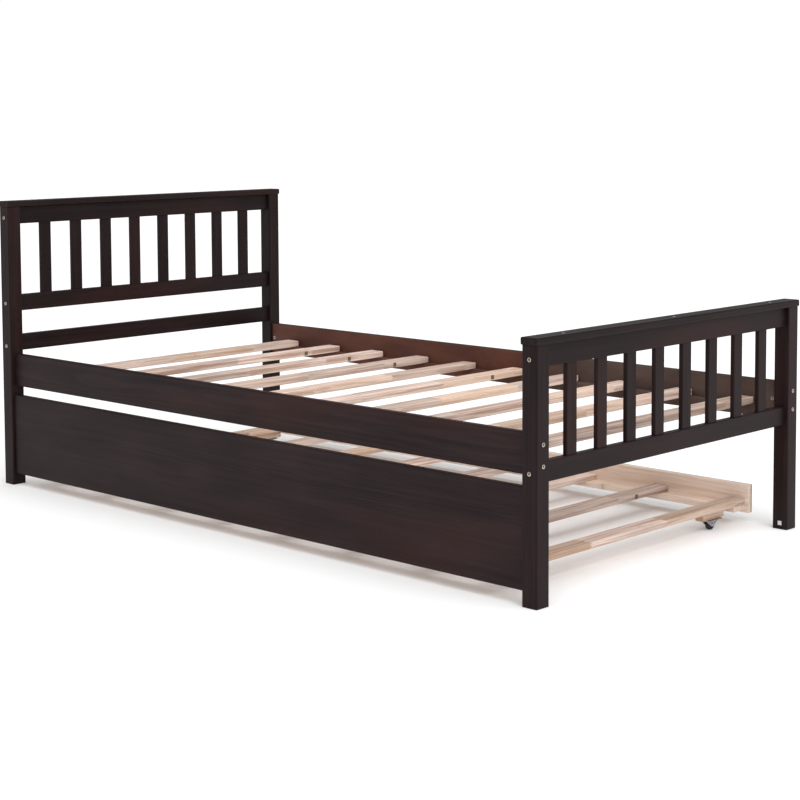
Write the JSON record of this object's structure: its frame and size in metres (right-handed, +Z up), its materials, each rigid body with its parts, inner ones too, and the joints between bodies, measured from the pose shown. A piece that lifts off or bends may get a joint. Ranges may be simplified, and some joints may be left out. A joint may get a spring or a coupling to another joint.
{
  "type": "trundle bed",
  "caption": "Twin bed with barred head and foot boards, a slatted deck, and a slatted trundle frame on casters that rolls out from under one long side.",
  "frame": {"origin": "on the floor, in the middle of the bed's footprint, which is the bottom centre of the whole bounding box", "axes": "+X runs along the bed from the headboard to the footboard, the trundle rolls out towards -Y, +Z is up"},
  "size_m": [2.014, 1.064, 0.829],
  "materials": {
    "espresso_wood": "dark espresso stain under a satin lacquer",
    "pine": "bare planed pine",
    "caster_steel": "zinc-plated pressed steel",
    "caster_wheel": "black moulded plastic"
  },
  "bodies": {
    "bed": {"bed_slat_1": "pine", "bed_slat_2": "pine", "bed_slat_3": "pine", "bed_slat_4": "pine", "bed_slat_5": "pine", "bed_slat_6": "pine", "bed_slat_7": "pine", "bed_slat_8": "pine", "bed_slat_9": "pine", "bed_slat_10": "pine", "foot_baluster_1": "espresso_wood", "foot_baluster_2": "espresso_wood", "foot_baluster_3": "espresso_wood", "foot_baluster_4": "espresso_wood", "foot_baluster_5": "espresso_wood", "foot_baluster_6": "espresso_wood", "foot_baluster_7": "espresso_wood", "foot_baluster_8": "espresso_wood", "foot_cap": "espresso_wood", "foot_lower_rail": "espresso_wood", "foot_post_back": "espresso_wood", "foot_post_front": "espresso_wood", "foot_top_rail": "espresso_wood", "head_baluster_1": "espresso_wood", "head_baluster_2": "espresso_wood", "head_baluster_3": "espresso_wood", "head_baluster_4": "espresso_wood", "head_baluster_5": "espresso_wood", "head_baluster_6": "espresso_wood", "head_baluster_7": "espresso_wood", "head_baluster_8": "espresso_wood", "head_cap": "espresso_wood", "head_lower_rail": "espresso_wood", "head_middle_rail": "espresso_wood", "head_post_back": "espresso_wood", "head_post_front": "espresso_wood", "head_top_rail": "espresso_wood", "side_rail_back": "espresso_wood", "side_rail_front": "espresso_wood", "slat_ledger_back": "espresso_wood", "slat_ledger_front": "espresso_wood"},
    "trundle": {"caster_fork_1": "caster_steel", "caster_fork_2": "caster_steel", "caster_fork_3": "caster_steel", "caster_fork_4": "caster_steel", "trundle_back_rail": "pine", "trundle_panel": "espresso_wood", "trundle_slat_1": "pine", "trundle_slat_2": "pine", "trundle_slat_3": "pine", "trundle_slat_4": "pine", "trundle_slat_5": "pine", "trundle_slat_6": "pine", "trundle_slat_7": "pine", "trundle_slat_8": "pine"},
    "caster_wheel_1": {"caster_wheel_1": "caster_wheel"},
    "caster_wheel_2": {"caster_wheel_2": "caster_wheel"},
    "caster_wheel_3": {"caster_wheel_3": "caster_wheel"},
    "caster_wheel_4": {"caster_wheel_4": "caster_wheel"}
  },
  "joints": [
    {"name": "trundle_slide", "type": "slide", "parent": "bed", "child": "trundle", "axis": [0, -1, 0], "range_m": [0, 0.98]},
    {"name": "caster_wheel_1_spin", "type": "hinge", "parent": "trundle", "child": "caster_wheel_1", "pos_m": [-0.8505, -0.379, 0.012], "axis": [1, 0, 0], "continuous": true},
    {"name": "caster_wheel_2_spin", "type": "hinge", "parent": "trundle", "child": "caster_wheel_2", "pos_m": [-0.8505, 0.365, 0.012], "axis": [1, 0, 0], "continuous": true},
    {"name": "caster_wheel_3_spin", "type": "hinge", "parent": "trundle", "child": "caster_wheel_3", "pos_m": [0.8505, -0.379, 0.012], "axis": [1, 0, 0], "continuous": true},
    {"name": "caster_wheel_4_spin", "type": "hinge", "parent": "trundle", "child": "caster_wheel_4", "pos_m": [0.8505, 0.365, 0.012], "axis": [1, 0, 0], "continuous": true}
  ],
  "couplings": [
    {"joint": "caster_wheel_1_spin", "follows": "trundle_slide", "rad_per_m": 83.333},
    {"joint": "caster_wheel_2_spin", "follows": "trundle_slide", "rad_per_m": 83.333},
    {"joint": "caster_wheel_3_spin", "follows": "trundle_slide", "rad_per_m": 83.333},
    {"joint": "caster_wheel_4_spin", "follows": "trundle_slide", "rad_per_m": 83.333}
  ]
}
